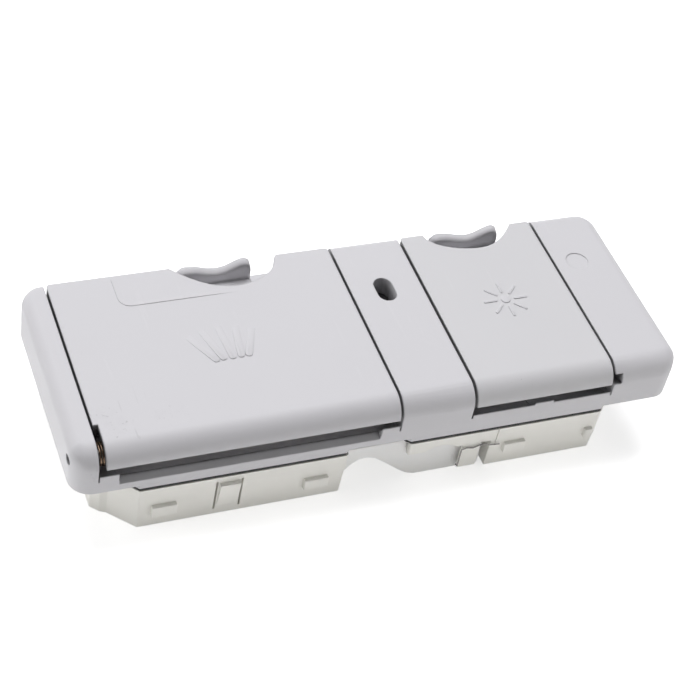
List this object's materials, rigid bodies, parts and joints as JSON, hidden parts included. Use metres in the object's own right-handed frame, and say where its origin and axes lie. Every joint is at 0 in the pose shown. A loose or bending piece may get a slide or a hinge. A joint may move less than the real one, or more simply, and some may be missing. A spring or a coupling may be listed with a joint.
{
  "type": "dishwasher detergent dispenser",
  "caption": "Door-mounted dishwasher dispenser: a face frame with hinged lids over a detergent well and a rinse-aid filler, sliding finger latches, rear housings, tank and release mechanism.",
  "frame": {"origin": "centre of the footprint at the lowest plane, which is the underside of the rear housings", "axes": "+X along the length from the detergent well to the rinse-aid side, +Y from the hinge edge to the latch edge, +Z out of the face"},
  "size_m": [0.26, 0.095, 0.05],
  "materials": {
    "grey_polypropylene": "satin",
    "off_white_polypropylene": "satin",
    "translucent_polypropylene": "satin",
    "dark_rubber": "matte",
    "pale_rubber": "matte",
    "steel": "satin",
    "brass": "satin",
    "dark_plastic": "satin",
    "dark_clear": "gloss"
  },
  "bodies": {
    "base": {"front_frame": "grey_polypropylene", "door_gasket": "dark_rubber", "detergent_hinge_rod": "steel", "detergent_lid_spring": "brass", "detergent_latch_spring": "steel", "rinse_latch_spring": "steel", "cup_housing": "off_white_polypropylene", "actuator_housing": "off_white_polypropylene", "rinse_tank": "translucent_polypropylene", "level_window": "dark_clear", "wire_clip": "steel", "actuator": "dark_plastic", "terminal_low": "brass", "terminal_high": "brass", "lever_pin": "steel"},
    "left_lid": {"detergent_lid": "grey_polypropylene", "detergent_lid_seal": "pale_rubber"},
    "right_lid": {"rinse_aid_lid": "grey_polypropylene", "rinse_aid_lid_seal": "pale_rubber"},
    "left_latch": {"detergent_latch": "grey_polypropylene"},
    "right_latch": {"rinse_latch": "grey_polypropylene"},
    "dial": {"dosing_dial": "off_white_polypropylene"},
    "plunger": {"actuator_plunger": "steel"},
    "lever": {"release_lever": "off_white_polypropylene"},
    "doser": {"dosing_plunger": "off_white_polypropylene", "dosing_seal": "dark_rubber"}
  },
  "joints": [
    {"name": "detergent_lid_hinge", "type": "hinge", "parent": "base", "child": "left_lid", "pos_m": [-0.0581, -0.0388, 0.0408], "axis": [1, 0, 0], "range_deg": [0, 100], "deforming": ["detergent_lid_spring"]},
    {"name": "rinse_aid_lid_hinge", "type": "hinge", "parent": "base", "child": "right_lid", "pos_m": [0.06725, -0.0388, 0.0408], "axis": [1, 0, 0], "range_deg": [0, 100]},
    {"name": "detergent_latch_slide", "type": "slide", "parent": "base", "child": "left_latch", "axis": [1, 0, 0], "range_m": [0, 0.0032], "deforming": ["detergent_latch_spring"]},
    {"name": "rinse_latch_slide", "type": "slide", "parent": "base", "child": "right_latch", "axis": [1, 0, 0], "range_m": [0, 0.0032], "deforming": ["rinse_latch_spring"]},
    {"name": "dial_turn", "type": "hinge", "parent": "base", "child": "dial", "pos_m": [0.084, 0.004, 0.042], "axis": [0, 0, 1], "range_deg": [0, 150]},
    {"name": "plunger_slide", "type": "slide", "parent": "base", "child": "plunger", "axis": [-1, 0, 0], "range_m": [0, 0.0023]},
    {"name": "lever_pivot", "type": "hinge", "parent": "base", "child": "lever", "pos_m": [0.064, 0.004, 0.014], "axis": [0, 1, 0], "range_deg": [0, 20]},
    {"name": "doser_lift", "type": "slide", "parent": "base", "child": "doser", "axis": [0, 0, 1], "range_m": [0, 0.0038]}
  ],
  "couplings": [
    {"joint": "lever_pivot", "follows": "plunger_slide", "rad_per_m": 151},
    {"joint": "doser_lift", "follows": "plunger_slide", "ratio": 1.631}
  ]
}
